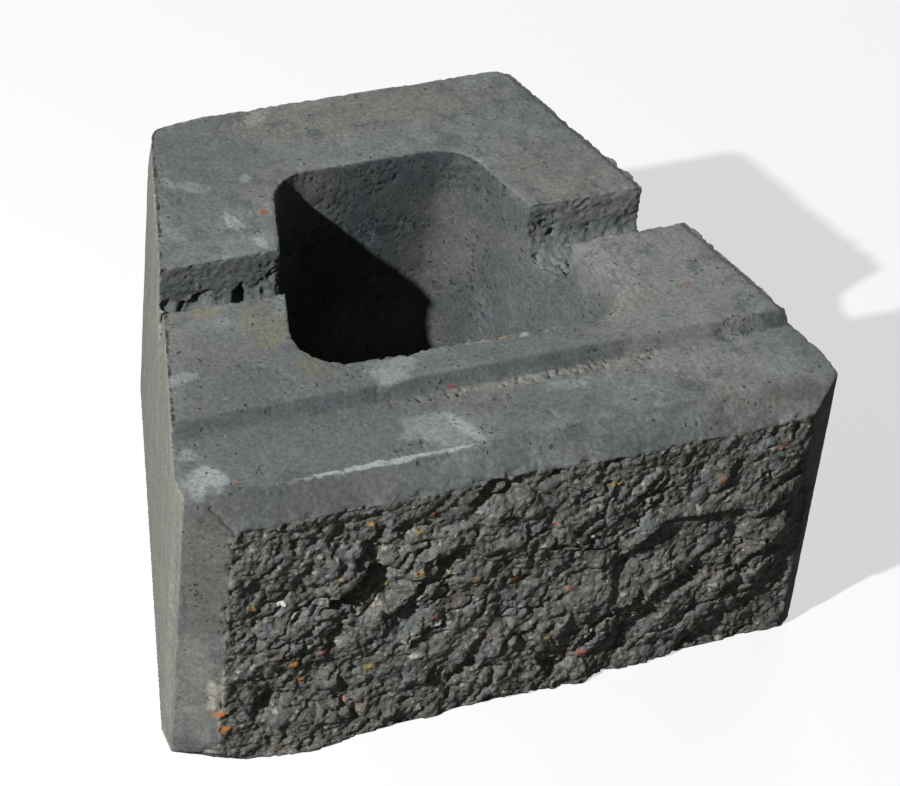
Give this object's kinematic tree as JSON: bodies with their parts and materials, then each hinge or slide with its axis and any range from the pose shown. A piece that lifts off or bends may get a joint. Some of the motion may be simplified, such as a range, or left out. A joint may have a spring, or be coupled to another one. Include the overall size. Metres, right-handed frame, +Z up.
{
  "type": "concrete retaining wall block",
  "caption": "Dark grey concrete retaining wall block with a rough split face in a bevelled border, tapered sides, a through core and a groove across its top.",
  "frame": {"origin": "middle of the block's bounding box, on the ground", "axes": "+X along the width of the split face, -Y out of the split face, +Z up out of the top bed"},
  "size_m": [0.4, 0.3462, 0.206],
  "materials": {
    "concrete": "dry cast charcoal concrete: fine pitted moulded faces, a rough split front with aggregate showing"
  },
  "bodies": {
    "root": {"block": "concrete"}
  },
  "joints": []
}
